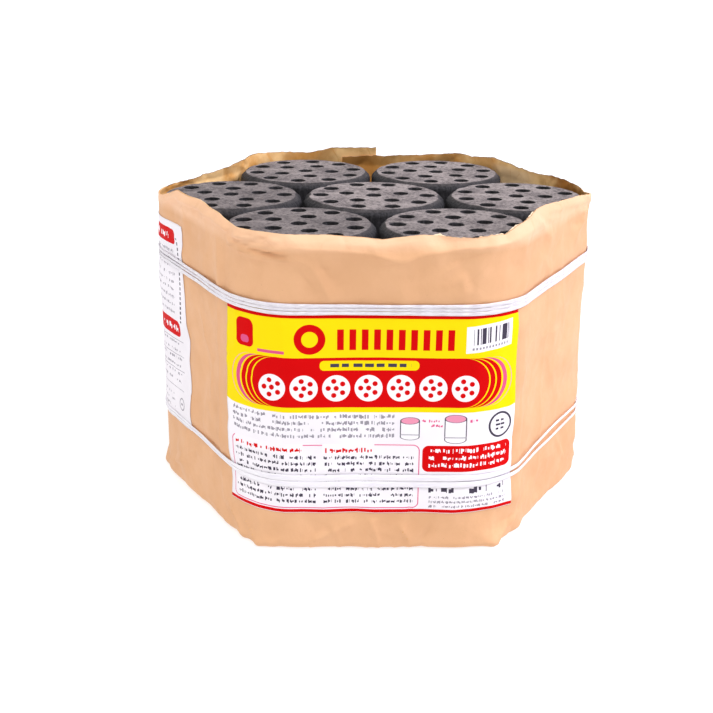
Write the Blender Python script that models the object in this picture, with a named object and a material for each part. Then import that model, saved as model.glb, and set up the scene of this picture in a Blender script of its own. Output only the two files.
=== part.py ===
"""A torn-open paper pack of fourteen match-lit honeycomb charcoal briquettes, in two layers of seven.

Frame: metres, +Z up, the origin at the centre of the pack's underside, -Y towards the face with the large label.
The nodes are the paper wrap's sleeve and folded bottom, two labels, two twine ties with their knots, and for each
of the fourteen briquettes a charcoal block and its ignition layer.
"""

import math

import bmesh
import bpy
from mathutils import Vector

# Driving dimensions of one briquette.
BRIQUETTE_RADIUS = 0.0605
BLOCK_HEIGHT = 0.1110
IGNITER_HEIGHT = 0.0122
EDGE_CHAMFER = 0.0050
HOLE_RADIUS = 0.00625
INNER_RING_RADIUS = 0.0244
OUTER_RING_RADIUS = 0.0452
INNER_RING_HOLES = 5
OUTER_RING_HOLES = 10

# How the briquettes are packed.
PITCH = 0.1215
GAP = 0.0003

# Paper wrap: its corners are arcs about the six outer briquettes.
PAPER = 0.0008
WRAP_CLEARANCE = 0.0010
WRAP_RADIUS = BRIQUETTE_RADIUS + WRAP_CLEARANCE + PAPER
BOTTOM_THICKNESS = 0.0024
FOOT_Z = 0.0008
FOOT_BEND = 0.0057
BOTTOM_RADIUS = WRAP_RADIUS - FOOT_BEND - GAP

# Labels and twine lie on the wrap, one over the other.
LABEL = 0.0004
LABEL_RADIUS = WRAP_RADIUS + GAP
TWINE_RADIUS = LABEL_RADIUS + LABEL + GAP
TWINE_THICKNESS = 0.0012
KNOT_HALF_SIZE = (0.0070, 0.0045, 0.0060)
TAIL_SIZE = (0.0040, 0.0008, 0.0420)
TAIL_START = 0.0025
TAIL_SPLAY = 0.12

# Segment counts, and the shortest step along the wrap.
BRIQUETTE_SIDES = 24
BLOCK_HOLE_SIDES = 8
IGNITER_HOLE_SIDES = 6
ARC_STEPS = 5
FLAT_STEPS = 6
LEAST_STEP = 0.0003

# The wrap's outline, as one flat side and one corner arc, six times over.
ARC_LENGTH = WRAP_RADIUS * math.pi / 3
SIDE_LENGTH = PITCH + ARC_LENGTH
PERIMETER = 6 * SIDE_LENGTH

# Heights of the layers.
LOWER_BASE_Z = BOTTOM_THICKNESS + GAP
LAYER_HEIGHT = BLOCK_HEIGHT + GAP + IGNITER_HEIGHT
UPPER_BASE_Z = LOWER_BASE_Z + LAYER_HEIGHT + GAP

# Each place in a layer: its direction from the centre in degrees (None at the centre), then how far the upper
# and the lower briquette there are turned about their own axes, in degrees.
PLACES = {
    "centre": (None, 90.0, 40.0),
    "right": (0.0, -3.0, 62.0),
    "back_right": (60.0, 98.0, 15.0),
    "back_left": (120.0, -7.0, 84.0),
    "left": (180.0, 90.0, 29.0),
    "front_left": (240.0, 2.0, 71.0),
    "front_right": (300.0, 91.0, 8.0),
}

# The torn rim: distance round the wrap from the middle of the front side, to the right, and height, in mm. The
# step at the back is where the sheet's outer end lies over its inner end.
TORN_RIM = [
    (0, 253), (30, 256), (61, 254), (93, 256), (105, 260), (132, 266), (160, 266), (213, 261), (241, 259),
    (290, 251), (306, 253), (335, 255), (365, 254), (425, 257.5), (454, 254), (473, 256), (486, 254),
    (553, 252), (556, 259.5), (593, 260), (618, 254), (680, 256), (714, 252), (805, 248), (876, 258),
    (898, 264), (940, 264), (982, 262), (1007, 257), (1082, 256),
]

# Labels, as (start, end) round the wrap and (bottom, top).
FRONT_LABEL_SPAN = (-0.1255, 0.1105)
FRONT_LABEL_Z = (0.0365, 0.1985)
SIDE_LABEL_SPAN = (-0.3395, -0.2095)
SIDE_LABEL_Z = (0.0600, 0.2400)

# Ties: height of the middle at x 0, y 0, how wide the strands lie, and where the knot is. Both ties lie on a slope
# that rises towards the back, in metres per metre.
UPPER_TIE = (0.2042, 0.0090, 0.4150)
LOWER_TIE = (0.0654, 0.0080, 0.3900)
TIE_SLOPE = 0.026

# name: (colour, roughness)
MATERIALS = {
    "charcoal": ((0.060, 0.057, 0.060), 0.85),
    "ignition_compound": ((0.105, 0.095, 0.088), 0.90),
    "kraft_paper": ((0.640, 0.430, 0.265), 0.80),
    "label_paper": ((0.880, 0.860, 0.840), 0.55),
    "twine": ((0.860, 0.850, 0.850), 0.45),
}


def clear_scene():
    """Removes every object that the startup file holds."""
    for obj in list(bpy.data.objects):
        bpy.data.objects.remove(obj, do_unlink=True)


def material(name):
    """The Principled material of that name, made at its first use."""
    found = bpy.data.materials.get(name)
    if found:
        return found
    colour, roughness = MATERIALS[name]
    made = bpy.data.materials.new(name)
    made.use_nodes = True
    shader = made.node_tree.nodes["Principled BSDF"]
    shader.inputs["Base Color"].default_value = (*colour, 1.0)
    shader.inputs["Roughness"].default_value = roughness
    shader.inputs["Metallic"].default_value = 0.0
    return made


def add_object(name, bm, material_name, location=(0.0, 0.0, 0.0), turn=0.0):
    """Turns a bmesh into a named, smooth-shaded object."""
    bmesh.ops.recalc_face_normals(bm, faces=bm.faces)
    mesh = bpy.data.meshes.new(name)
    bm.to_mesh(mesh)
    bm.free()
    mesh.shade_smooth()
    mesh.set_sharp_from_angle(angle=math.radians(30))
    mesh.materials.append(material(material_name))
    obj = bpy.data.objects.new(name, mesh)
    obj.location = location
    obj.rotation_euler.z = turn
    bpy.context.scene.collection.objects.link(obj)
    return obj


def ring(bm, centre, radius, sides, z):
    """Vertices round a circle."""
    points = []
    for i in range(sides):
        angle = i * math.tau / sides
        points.append(bm.verts.new((centre[0] + radius * math.cos(angle), centre[1] + radius * math.sin(angle), z)))
    return points


def bridge(bm, low, high):
    """The band of faces between two rings of as many vertices."""
    for i in range(len(low)):
        bm.faces.new((low[i - 1], low[i], high[i], high[i - 1]))


def hole_centres():
    """The air holes: one in the middle, five round it, and ten outside those, half a step on."""
    centres = [(0.0, 0.0)]
    for i in range(INNER_RING_HOLES):
        angle = i * math.tau / INNER_RING_HOLES
        centres.append((INNER_RING_RADIUS * math.cos(angle), INNER_RING_RADIUS * math.sin(angle)))
    for i in range(OUTER_RING_HOLES):
        angle = (i + 0.5) * math.tau / OUTER_RING_HOLES
        centres.append((OUTER_RING_RADIUS * math.cos(angle), OUTER_RING_RADIUS * math.sin(angle)))
    return centres


def equal_area_radius(radius, sides):
    """The corner radius of a regular polygon that has the area of a circle."""
    return radius * math.sqrt(math.tau / (sides * math.sin(math.tau / sides)))


def drilled_disc(height, chamfered, hole_sides, turn):
    """A disc from z 0 to height with the air holes through it, chamfered at its low or its high rim. Only the holes
    turn: the outline's corners stay in line with the packing."""
    bm = bmesh.new()
    cut_radius = BRIQUETTE_RADIUS - EDGE_CHAMFER
    if chamfered == "low":
        levels = [(0.0, cut_radius), (EDGE_CHAMFER, BRIQUETTE_RADIUS), (height, BRIQUETTE_RADIUS)]
    else:
        levels = [(0.0, BRIQUETTE_RADIUS), (height - EDGE_CHAMFER, BRIQUETTE_RADIUS), (height, cut_radius)]
    outer = [ring(bm, (0.0, 0.0), radius, BRIQUETTE_SIDES, z) for z, radius in levels]
    for low, high in zip(outer, outer[1:]):
        bridge(bm, low, high)

    hole_radius = equal_area_radius(HOLE_RADIUS, hole_sides)
    caps = {0.0: ring_outline(outer[0]), height: ring_outline(outer[-1])}
    for x, y in hole_centres():
        centre = (x * math.cos(turn) - y * math.sin(turn), x * math.sin(turn) + y * math.cos(turn))
        low = ring(bm, centre, hole_radius, hole_sides, 0.0)
        high = ring(bm, centre, hole_radius, hole_sides, height)
        bridge(bm, low, high)
        caps[0.0] += ring_outline(low)
        caps[height] += ring_outline(high)
    for edges in caps.values():
        bmesh.ops.triangle_fill(bm, edges=edges, use_beauty=True)
    return bm


def ring_outline(points):
    """The edges that already join a ring's neighbouring vertices."""
    found = []
    for i, point in enumerate(points):
        found += [edge for edge in point.link_edges if edge.other_vert(point) is points[i - 1]]
    return found


def corner_centre(degrees):
    """The axis of the outer briquette in that direction, about which the wrap's corner arc runs."""
    angle = math.radians(degrees)
    return Vector((PITCH * math.cos(angle), PITCH * math.sin(angle)))


def wrap_station(s):
    """Where distance s round the wrap is: a point on the hexagon through the outer briquettes' centres, and the
    outward direction there. s is 0 in the middle of the front side and grows to the right."""
    side, along = divmod((s + PITCH / 2) % PERIMETER, SIDE_LENGTH)
    normal_degrees = -90.0 + 60.0 * side
    start, end = corner_centre(normal_degrees - 30.0), corner_centre(normal_degrees + 30.0)
    if along <= PITCH:
        base = start.lerp(end, along / PITCH)
    else:
        base = end
        normal_degrees += 60.0 * (along - PITCH) / ARC_LENGTH
    angle = math.radians(normal_degrees)
    return base, Vector((math.cos(angle), math.sin(angle)))


def wrap_point(s, radius, z):
    """The point at distance s round the wrap, radius out from the line through the briquettes' centres."""
    base, normal = wrap_station(s)
    flat = base + radius * normal
    return Vector((flat.x, flat.y, z))


def stations(start, end):
    """The distances between start and end at which the outline needs a point: the ends of each arc and flat
    side, and even steps along them."""
    marks = {start, end}
    first_side, last_side = (math.floor((s + PITCH / 2) / SIDE_LENGTH) for s in (start, end))
    for side in range(first_side, last_side + 1):
        flat_start = side * SIDE_LENGTH - PITCH / 2
        marks.update(flat_start + i * PITCH / FLAT_STEPS for i in range(FLAT_STEPS + 1))
        arc_start = flat_start + PITCH
        marks.update(arc_start + i * ARC_LENGTH / ARC_STEPS for i in range(1, ARC_STEPS))
    inside = sorted(mark for mark in marks if start <= mark <= end)
    kept = [start]
    for mark in inside:
        if mark - kept[-1] > LEAST_STEP:
            kept.append(mark)
    kept[-1] = end
    return kept


def on_flat(s):
    """Whether s lies on a flat side, where one more point doesn't change the outline."""
    return (s + PITCH / 2) % SIDE_LENGTH <= PITCH


def rim_height(s):
    """The torn rim's height at distance s round the wrap, straight between the listed points."""
    at = (s % PERIMETER) * 1000
    rim = [*TORN_RIM, (PERIMETER * 1000 + TORN_RIM[0][0], TORN_RIM[0][1])]
    for (s0, z0), (s1, z1) in zip(rim, rim[1:]):
        if s0 <= at <= s1:
            return (z0 + (z1 - z0) * (at - s0) / (s1 - s0)) / 1000
    return rim[0][1] / 1000


def closed_wrap_band(section, extra_marks=()):
    """A ring all round the wrap. section(s) gives the cross-section there, as (radius, z) in order round it."""
    bm = bmesh.new()
    marks = sorted({*stations(0.0, PERIMETER)[:-1], *extra_marks})
    columns = [[bm.verts.new(wrap_point(s, radius, z)) for radius, z in section(s)] for s in marks]
    for i in range(len(columns)):
        bridge(bm, columns[i - 1], columns[i])
    return bm


def make_wrap():
    """The paper tube round the briquettes, bent in at its foot and torn at its rim."""

    def section(s):
        foot_radius = WRAP_RADIUS - FOOT_BEND
        bend_z = FOOT_Z + FOOT_BEND
        return [
            (foot_radius, FOOT_Z),
            (WRAP_RADIUS, bend_z),
            (WRAP_RADIUS, rim_height(s)),
            (WRAP_RADIUS - PAPER, rim_height(s)),
            (WRAP_RADIUS - PAPER, bend_z + PAPER / 2),
            (foot_radius, FOOT_Z + PAPER),
        ]

    rim_marks = [at / 1000 for at, height in TORN_RIM if on_flat(at / 1000)]
    add_object("wrap_sleeve", closed_wrap_band(section, rim_marks), "kraft_paper")


def make_bottom():
    """The paper folded under the pack, in several layers."""
    bm = bmesh.new()
    marks = stations(0.0, PERIMETER)[:-1]
    low = [bm.verts.new(wrap_point(s, BOTTOM_RADIUS, 0.0)) for s in marks]
    high = [bm.verts.new(wrap_point(s, BOTTOM_RADIUS, BOTTOM_THICKNESS)) for s in marks]
    bridge(bm, low, high)
    bm.faces.new(low)
    bm.faces.new(high)
    add_object("wrap_bottom_fold", bm, "kraft_paper")


def make_label(name, span, heights):
    """A label pasted on the wrap."""
    inner, outer = LABEL_RADIUS, LABEL_RADIUS + LABEL
    low, high = heights
    section = [(inner, low), (outer, low), (outer, high), (inner, high)]
    bm = bmesh.new()
    columns = [[bm.verts.new(wrap_point(s, radius, z)) for radius, z in section] for s in stations(*span)]
    for left, right in zip(columns, columns[1:]):
        bridge(bm, left, right)
    bm.faces.new(columns[0])
    bm.faces.new(columns[-1])
    add_object(name, bm, "label_paper")


def make_tie(name, tie):
    """One twine tie round the pack, and its knot with two tails hanging from it."""
    middle_z, width, knot_at = tie
    outer = TWINE_RADIUS + TWINE_THICKNESS

    def tie_z(s):
        return middle_z + TIE_SLOPE * wrap_point(s, TWINE_RADIUS, 0.0).y

    def section(s):
        low = tie_z(s) - width / 2
        high = tie_z(s) + width / 2
        return [(TWINE_RADIUS, low), (outer, low), (outer, high), (TWINE_RADIUS, high)]

    add_object(name, closed_wrap_band(section), "twine")

    normal = wrap_station(knot_at)[1]
    turn = math.atan2(normal.x, -normal.y)
    centre = wrap_point(knot_at, outer + GAP + KNOT_HALF_SIZE[1], tie_z(knot_at))
    bm = bmesh.new()
    bmesh.ops.create_icosphere(bm, subdivisions=2, radius=1.0)
    bmesh.ops.scale(bm, vec=KNOT_HALF_SIZE, verts=bm.verts)
    knot = add_object(f"{name}_knot", bm, "twine", centre, turn)

    for side in (-1, 1):
        bm = bmesh.new()
        bmesh.ops.create_cube(bm, size=1.0)
        bmesh.ops.scale(bm, vec=TAIL_SIZE, verts=bm.verts)
        for vert in bm.verts:
            vert.co.x += side * (TAIL_START - TAIL_SPLAY * vert.co.z)
            vert.co.z -= TAIL_SIZE[2] / 2
        tail = add_object(f"{name}_tail_helper_{side}", bm, "twine", centre, turn)
        tail.hide_render = True
        tail.display_type = "WIRE"
        join = knot.modifiers.new("tail", "BOOLEAN")
        join.operation = "UNION"
        join.object = tail


def make_briquettes():
    """Seven upper and seven lower briquettes. The ignition layers face each other across the middle of the pack:
    on top of the lower blocks and under the upper ones."""
    for place, (direction, upper_turn, lower_turn) in PLACES.items():
        centre = Vector((0.0, 0.0)) if direction is None else corner_centre(direction)
        upper, lower = math.radians(upper_turn), math.radians(lower_turn)

        at = (centre.x, centre.y, LOWER_BASE_Z)
        block = drilled_disc(BLOCK_HEIGHT, "low", BLOCK_HOLE_SIDES, lower)
        add_object(f"lower_block_{place}", block, "charcoal", at)
        at = (centre.x, centre.y, LOWER_BASE_Z + BLOCK_HEIGHT + GAP)
        layer = drilled_disc(IGNITER_HEIGHT, "high", IGNITER_HOLE_SIDES, lower)
        add_object(f"lower_ignition_layer_{place}", layer, "ignition_compound", at)

        at = (centre.x, centre.y, UPPER_BASE_Z)
        layer = drilled_disc(IGNITER_HEIGHT, "low", IGNITER_HOLE_SIDES, upper)
        add_object(f"upper_ignition_layer_{place}", layer, "ignition_compound", at)
        at = (centre.x, centre.y, UPPER_BASE_Z + IGNITER_HEIGHT + GAP)
        block = drilled_disc(BLOCK_HEIGHT, "high", BLOCK_HOLE_SIDES, upper)
        add_object(f"upper_block_{place}", block, "charcoal", at)


def main():
    clear_scene()
    make_wrap()
    make_bottom()
    make_label("front_label", FRONT_LABEL_SPAN, FRONT_LABEL_Z)
    make_label("side_label", SIDE_LABEL_SPAN, SIDE_LABEL_Z)
    make_tie("upper_twine", UPPER_TIE)
    make_tie("lower_twine", LOWER_TIE)
    make_briquettes()


main()
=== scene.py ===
"""Looks for the torn-open pack of honeycomb briquettes: creased paper, printed labels, twine and charcoal.

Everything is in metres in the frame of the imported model, unless a name ends in _MM. A place on the wrap is
given by s, the distance round it from the middle of the front side to the right, and by the height z.
"""

import math
from functools import partialmethod

import bmesh
import bpy
import numpy as np
from mathutils import Matrix, Vector


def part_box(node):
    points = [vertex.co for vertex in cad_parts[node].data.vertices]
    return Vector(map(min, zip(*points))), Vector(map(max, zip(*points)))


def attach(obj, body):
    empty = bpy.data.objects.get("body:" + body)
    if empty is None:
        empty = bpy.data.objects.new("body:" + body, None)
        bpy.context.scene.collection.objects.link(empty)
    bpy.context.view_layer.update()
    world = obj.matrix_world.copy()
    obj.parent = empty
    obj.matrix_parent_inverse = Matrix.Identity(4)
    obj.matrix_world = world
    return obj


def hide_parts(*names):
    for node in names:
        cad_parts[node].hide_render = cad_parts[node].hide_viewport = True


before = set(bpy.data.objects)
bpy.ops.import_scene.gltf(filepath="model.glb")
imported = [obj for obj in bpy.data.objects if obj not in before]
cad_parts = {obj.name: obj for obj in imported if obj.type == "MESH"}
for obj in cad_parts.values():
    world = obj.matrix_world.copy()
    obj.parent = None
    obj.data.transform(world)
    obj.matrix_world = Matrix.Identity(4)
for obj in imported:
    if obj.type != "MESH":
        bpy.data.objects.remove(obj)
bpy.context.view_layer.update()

# The briquettes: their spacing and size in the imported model, the points round a hole and a side, the chips out
# of an edge, and the two rings of air holes, each a radius and a count. The chamfer is worn round: how far in
# it is, and how far along.
right_low, right_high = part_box("upper_block_right")
PITCH = (right_low.x + right_high.x) / 2
BRIQUETTE_RADIUS = (right_high.x - right_low.x) / 2
HOLE_RADIUS = 0.00625
HOLE_SIDES = 20
SIDE_SEGMENTS = 96
CHIPS = 7
INNER_RING = (0.0244, 5)
OUTER_RING = (0.0452, 10)
EDGE_CHAMFER = 0.0050
WORN_CORNER = [(0.0027, 0.0021), (0.0010, 0.0038), (0.0005, 0.0046), (0.0002, 0.0062)]

# How far the upper and the lower briquette at each place are turned, in degrees, and how pale both are,
# which is a painted shade that darkens the briquettes on the left.
PLACES = {
    "centre": (90.0, 40.0, 0.98),
    "right": (-3.0, 62.0, 1.00),
    "back_right": (98.0, 15.0, 0.98),
    "back_left": (-7.0, 84.0, 0.84),
    "left": (90.0, 29.0, 0.66),
    "front_left": (2.0, 71.0, 0.68),
    "front_right": (91.0, 8.0, 0.88),
}

# The wrap: its outline is a hexagon's flat sides joined by arcs about the outer briquettes. LEAST_BULGE keeps
# the paper off a briquette, and between two of them it may sag DEEPEST_SAG further in.
WRAP_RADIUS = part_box("wrap_sleeve")[1].x - PITCH
ARC_LENGTH = WRAP_RADIUS * math.pi / 3
SIDE_LENGTH = PITCH + ARC_LENGTH
PERIMETER = 6 * SIDE_LENGTH
PAPER = 0.0006
LEAST_BULGE = -0.0009
DEEPEST_SAG = 0.0045
STOP_SOFTNESS = 0.00018

# The sides are a little hollow, and the arcs are bridged in flat facets. CRUMPLES gives the height and the
# size of each set of crumples.
SIDE_HOLLOW = 0.0010
FACET_DEGREES = 20.0
FACET_SHARE = 0.40
CRUMPLES = [(0.0024, 0.046), (0.0012, 0.019)]

# The turn at the sheet's foot, and the lip that it ends in.
FOOT_RADIUS = 0.0065
FOOT_CORNER_RADIUS = 0.0045
FOOT_Z = 0.0001
FOOT_LIP = 0.0016

# How far the foot's folded corners stick out, as place and distance. Only the corners are sharp.
FOOT_CORNERS_MM = [
    (-560, 2.5), (-467, 2.5), (-280, 3.5), (-93, 6.0), (0, 4.0), (93, 4.0), (280, 2.5), (560, 2.5),
]

# Where the rim is turned over on itself: how far out it stands, how deep its roll is, how far it leans in at
# the top, and how deep the turned part is on the inside.
LIP_PROUD = 0.0030
LIP_ROLL = 0.0052
LIP_LEAN = 0.0032
FOLD_DEPTH = 0.0075

# The underside's flaps: how far each reaches past the middle, half its width there, the lowest one's height,
# the step up to the next, and the thickness of each.
FLAP_PAST_MIDDLE = 0.016
FLAP_TIP_HALF_WIDTH = 0.022
FLAP_Z = 0.0009
FLAP_STEP = 0.00024
FLAP_THICKNESS = 0.00018

# The sheet's outer end, and how far its inner end runs on beneath it.
SHEET_START = 0.5525
LAP = 0.0330
LAP_STEP = 0.0010
COLUMN_STEP = 0.0018
ROW_STEP = 0.0024
FIXED_ROWS_TOP = 0.2300

# The torn rim, as place and height. The places run on from the sheet's outer end, past the front's middle at
# PERIMETER, to its inner end.
TORN_RIM_MM = [
    (555, 259.5), (593, 260), (618, 254.5), (680, 257.5), (714, 254), (780, 251), (812, 251.5), (838, 252.5),
    (860, 253), (876, 257), (898, 264), (940, 264), (982, 262), (1007, 257), (1082, 256), (1120, 253),
    (1150, 256), (1181, 254), (1213, 256), (1225, 260), (1252, 266), (1280, 266), (1333, 261), (1361, 259),
    (1410, 251), (1426, 253), (1455, 255), (1485, 254), (1545, 257.5), (1574, 254), (1593, 256), (1606, 254),
    (1673, 252), (1695, 251.2), (1710, 250.6),
]

# The crease under the shoulder, where the paper leans in towards the rim: place, height and how far out it is.
SHOULDER_MM = [
    (-560, 244, 0.6), (-250, 250, 0.7), (-200, 252, 0.9), (-150, 249, 1.4), (-118, 246, 2.6), (-86, 246, 3.6),
    (-65, 247, 4.0), (-29, 245, 4.3), (0, 241, 4.6), (16, 236, 4.8), (36, 243, 4.4), (64, 247, 4.0),
    (92, 249, 3.4), (118, 253, 2.4), (150, 256, 1.4), (190, 251, 0.8), (300, 243, 0.5), (560, 244, 0.6),
]

# Single creases: from (s, z) to (s, z), how wide and how proud.
CREASES_MM = [
    (-264, 12, -243, 15, 3.5, 0.9), (-264, 12, -196, 34, 2.4, 1.0), (-52, 236, -34, 203, 2.6, 0.9),
    (-61, 233, -43, 209, 2.2, -0.7), (-68, 243, -51, 233, 2.4, 0.8), (-143, 240, -143, 12, 4.0, 0.7),
    (-122, 245.5, -102, 243.5, 1.0, 1.1), (-113, 241.5, -78, 238.5, 1.0, 1.2),
    (-103, 238.5, -58, 236.5, 1.0, 1.0), (-119, 248, -94, 245.5, 0.9, -0.9), (-98, 243.5, -66, 241, 0.9, -0.9),
    (-124, 243, -106, 238, 1.1, 0.8), (-92, 247, -60, 244, 0.9, 0.8), (172, 236, 172, 16, 5.0, 0.6),
    (196, 210, 212, 150, 3.0, 0.5), (178, 140, 206, 96, 3.0, 0.5), (150, 228, 178, 206, 2.6, 0.6),
    (206, 60, 236, 22, 2.8, 0.7), (-118, 26, -92, 2, 1.6, 1.3), (-14, 26, -57, 4, 2.2, 1.4),
    (-35, 24, -27, 3, 2.0, 0.9), (-4, 28, 3, 3, 2.2, 1.3), (18, 24, 28, 5, 2.0, 1.3),
    (90, 1, 122, 18, 1.8, 1.3), (-46, 240, -30, 214, 2.0, -0.6), (-139, 246, -139, 186, 5.0, 1.3),
    (-127, 240, -131, 205, 3.0, -0.7), (-176, 247, -147, 261, 2.8, 0.9), (44, 225, 75, 249, 2.4, 0.8),
    (46, 218, 66, 226, 2.2, 0.6),
    (52, 236, 80, 244, 2.0, -0.5), (127, 265, 166, 238, 3.2, 1.1), (140, 262, 172, 246, 2.2, -0.7),
    (-181, 178, -162, 138, 2.6, 0.9), (-163, 141, -160, 103, 2.4, 0.7), (-169, 126, -151, 146, 2.2, -0.6),
    (-250, 14, -172, 58, 2.8, 1.0), (-258, 14, -236, 43, 2.4, -0.8), (-134, 26, -108, 4, 2.8, 1.1),
    (-180, 12, -92, 2, 2.6, 0.9), (-146, 18, -118, 3, 2.2, -0.8), (-92, 2, -50, 19, 2.6, 0.9),
    (-80, 3, -46, 9, 2.2, -0.6), (-8, 3, -3, 30, 2.6, 1.2), (14, 2, 24, 27, 2.4, 1.1),
    (34, 2, 46, 24, 2.4, -1.0), (89, 2, 126, 21, 2.8, 1.4), (104, 2, 116, 22, 2.2, -1.0),
    (208, 3, 166, 11, 2.6, 0.8), (60, 3, 118, 3, 2.4, 0.7),
    (62, 232, 62, 208, 4.0, 0.6), (121, 190, 122, 30, 5.0, 0.5), (-126, 180, -127, 60, 5.0, 0.5),
    (246, 250, 225, 224, 2.6, 0.8), (214, 240, 236, 236, 2.4, -0.6), (560, 250, 600, 225, 3.0, 0.9),
    (470, 256, 500, 232, 2.8, 0.8), (690, 254, 716, 228, 2.8, 0.9), (742, 30, 780, 6, 2.8, 0.9),
    (420, 6, 452, 26, 2.8, 0.9), (300, 252, 322, 222, 2.6, 0.8),
]

# Smaller creases at random: how many, their bounds in s and z, and ranges for their length, direction in
# degrees, width and height. CREASE_GAIN makes all creases that much prouder.
SMALL_CREASES_MM = [
    (150, (-560, 560), (8, 246), (14, 62), (-180, 180), (1.4, 3.4), (0.12, 0.40)),
    (60, (-560, 560), (2, 26), (8, 26), (-180, 180), (1.2, 2.6), (0.15, 0.50)),
    (70, (-560, 560), (228, 258), (8, 26), (-180, 180), (1.2, 2.8), (0.15, 0.55)),
    (30, (-124, -72), (240, 254), (8, 26), (-12, 16), (0.9, 1.6), (0.35, 0.80)),
    (26, (210, 330), (228, 256), (8, 24), (-180, 180), (1.2, 2.4), (0.25, 0.70)),
    (24, (-120, 90), (52, 76), (20, 60), (-5, 5), (1.2, 2.2), (0.10, 0.32)),
]
CREASE_GAIN = 2.1

# Labels: start and end round the wrap, bottom and top. Both lie a little off the paper.
FRONT_LABEL = (-0.1255, 0.1105, 0.0335, 0.1985)
SIDE_LABEL = (-0.3395, -0.2080, 0.0600, 0.2360)
LABEL_OFFSET = 0.00035
LABEL_THICKNESS = 0.00018

# Ties: height at the wrap's middle, and where the knot is. They rise towards the back and pinch the paper.
UPPER_TIE_Z = 0.2042
LOWER_TIE_Z = 0.0654
UPPER_KNOT_S = 0.4150
LOWER_KNOT_S = 0.3900
TIE_SLOPE = 0.026
TIE_PINCH = 0.0008
TWINE_LIFT = 0.00058

# Strands: place, height off the tie's middle and half width in mm, in turn round the wrap.
UPPER_STRANDS = [
    [(-560, 2.7, 1.0), (-240, 3.3, 1.3), (-120, 3.2, 1.5), (-60, 3.0, 1.5), (0, 3.0, 1.2), (90, 3.1, 1.5),
     (126, 3.0, 1.6), (250, 2.9, 1.5), (300, 2.7, 1.1)],
    [(-560, 0.2, 1.0), (-240, 0.0, 1.0), (-160, 0.2, 1.2), (-60, 0.1, 1.4), (0, 0.3, 1.1), (90, 0.1, 1.5),
     (126, 0.0, 1.5), (250, 0.0, 1.5), (300, 0.2, 1.1)],
    [(-560, -2.6, 1.1), (-240, -3.0, 1.6), (-120, -2.8, 1.4), (-60, -2.8, 1.4), (0, -2.6, 1.4),
     (90, -2.9, 1.5), (126, -3.0, 1.6), (250, -2.9, 1.5), (300, -2.6, 1.1)],
]
LOWER_STRANDS = [
    [(-560, 1.2, 1.1), (-240, 1.1, 1.0), (-130, 1.2, 1.1), (-90, 2.5, 2.4), (-20, 2.8, 2.7), (60, 2.8, 2.6),
     (100, 2.4, 1.9), (130, 2.6, 1.3), (190, 3.6, 1.2), (250, 3.4, 1.2), (340, 2.0, 1.1), (560, 1.2, 1.1)],
    [(-560, -1.2, 1.1), (-240, -1.1, 1.0), (-130, -1.2, 1.1), (-90, -2.5, 2.4), (-20, -2.8, 2.7),
     (60, -2.8, 2.6), (100, -2.4, 1.9), (130, -3.0, 1.3), (190, -4.4, 1.2), (250, -3.6, 1.2),
     (340, -2.0, 1.1), (560, -1.2, 1.1)],
]
STRAND_THICKNESS = 0.00045
KNOT_STRAND_RADIUS = 0.0012
KNOT_OFF_PAPER = 0.0062
TAIL_LENGTH = 0.0395

# The camera: its place, its turns in degrees and its focal length in mm.
CAMERA_AT = (-0.0320, -1.0425, 0.4732)
CAMERA_YAW = 1.02
CAMERA_DOWN = 19.5
CAMERA_ROLL = 0.6
CAMERA_LENS = 62.7


def smooth(low, high, x):
    """0 below low, 1 above high, and a smooth step between."""
    t = np.clip((x - low) / (high - low), 0.0, 1.0)
    return t * t * (3.0 - 2.0 * t)


def within(x, rises_from, rises_to, falls_from, falls_to):
    """1 between rises_to and falls_from, 0 outside rises_from and falls_to, and smooth steps between."""
    return smooth(rises_from, rises_to, x) * (1.0 - smooth(falls_from, falls_to, x))


def apart(s, other):
    """The signed distance from other to s the short way round the wrap."""
    return (s - other + PERIMETER / 2) % PERIMETER - PERIMETER / 2


def along_wrap(points, s, column):
    """Column column of a list of points in mm, read off at s on the closed wrap, in metres."""
    at = apart(s, 0.0) * 1000
    return np.interp(at, [p[0] for p in points], [p[column] for p in points]) / 1000


def wrap_station(s):
    """For each s: the point on the hexagon through the outer briquettes' centres, the outward direction there,
    how far round a corner's arc it is in degrees, and its share of the way along a flat side."""
    side, along = np.divmod((s + PITCH / 2) % PERIMETER, SIDE_LENGTH)
    turned = 60.0 * np.clip(along - PITCH, 0.0, None) / ARC_LENGTH
    normal = -90.0 + 60.0 * side

    def corner(degrees):
        angle = np.radians(degrees)
        return PITCH * np.stack([np.cos(angle), np.sin(angle)], axis=-1)

    share = np.clip(along / PITCH, 0.0, 1.0)[..., None]
    base = corner(normal - 30.0) * (1.0 - share) + corner(normal + 30.0) * share
    angle = np.radians(normal + turned)
    return base, np.stack([np.cos(angle), np.sin(angle)], axis=-1), turned, share[..., 0]


def place(s, radius, z):
    """Points at distance s round the wrap, radius out from the line through the briquettes' centres."""
    s, radius, z = np.broadcast_arrays(s, radius, z)
    base, normal = wrap_station(s)[:2]
    flat = base + radius[..., None] * normal
    return np.concatenate([flat, z[..., None]], axis=-1)


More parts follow.
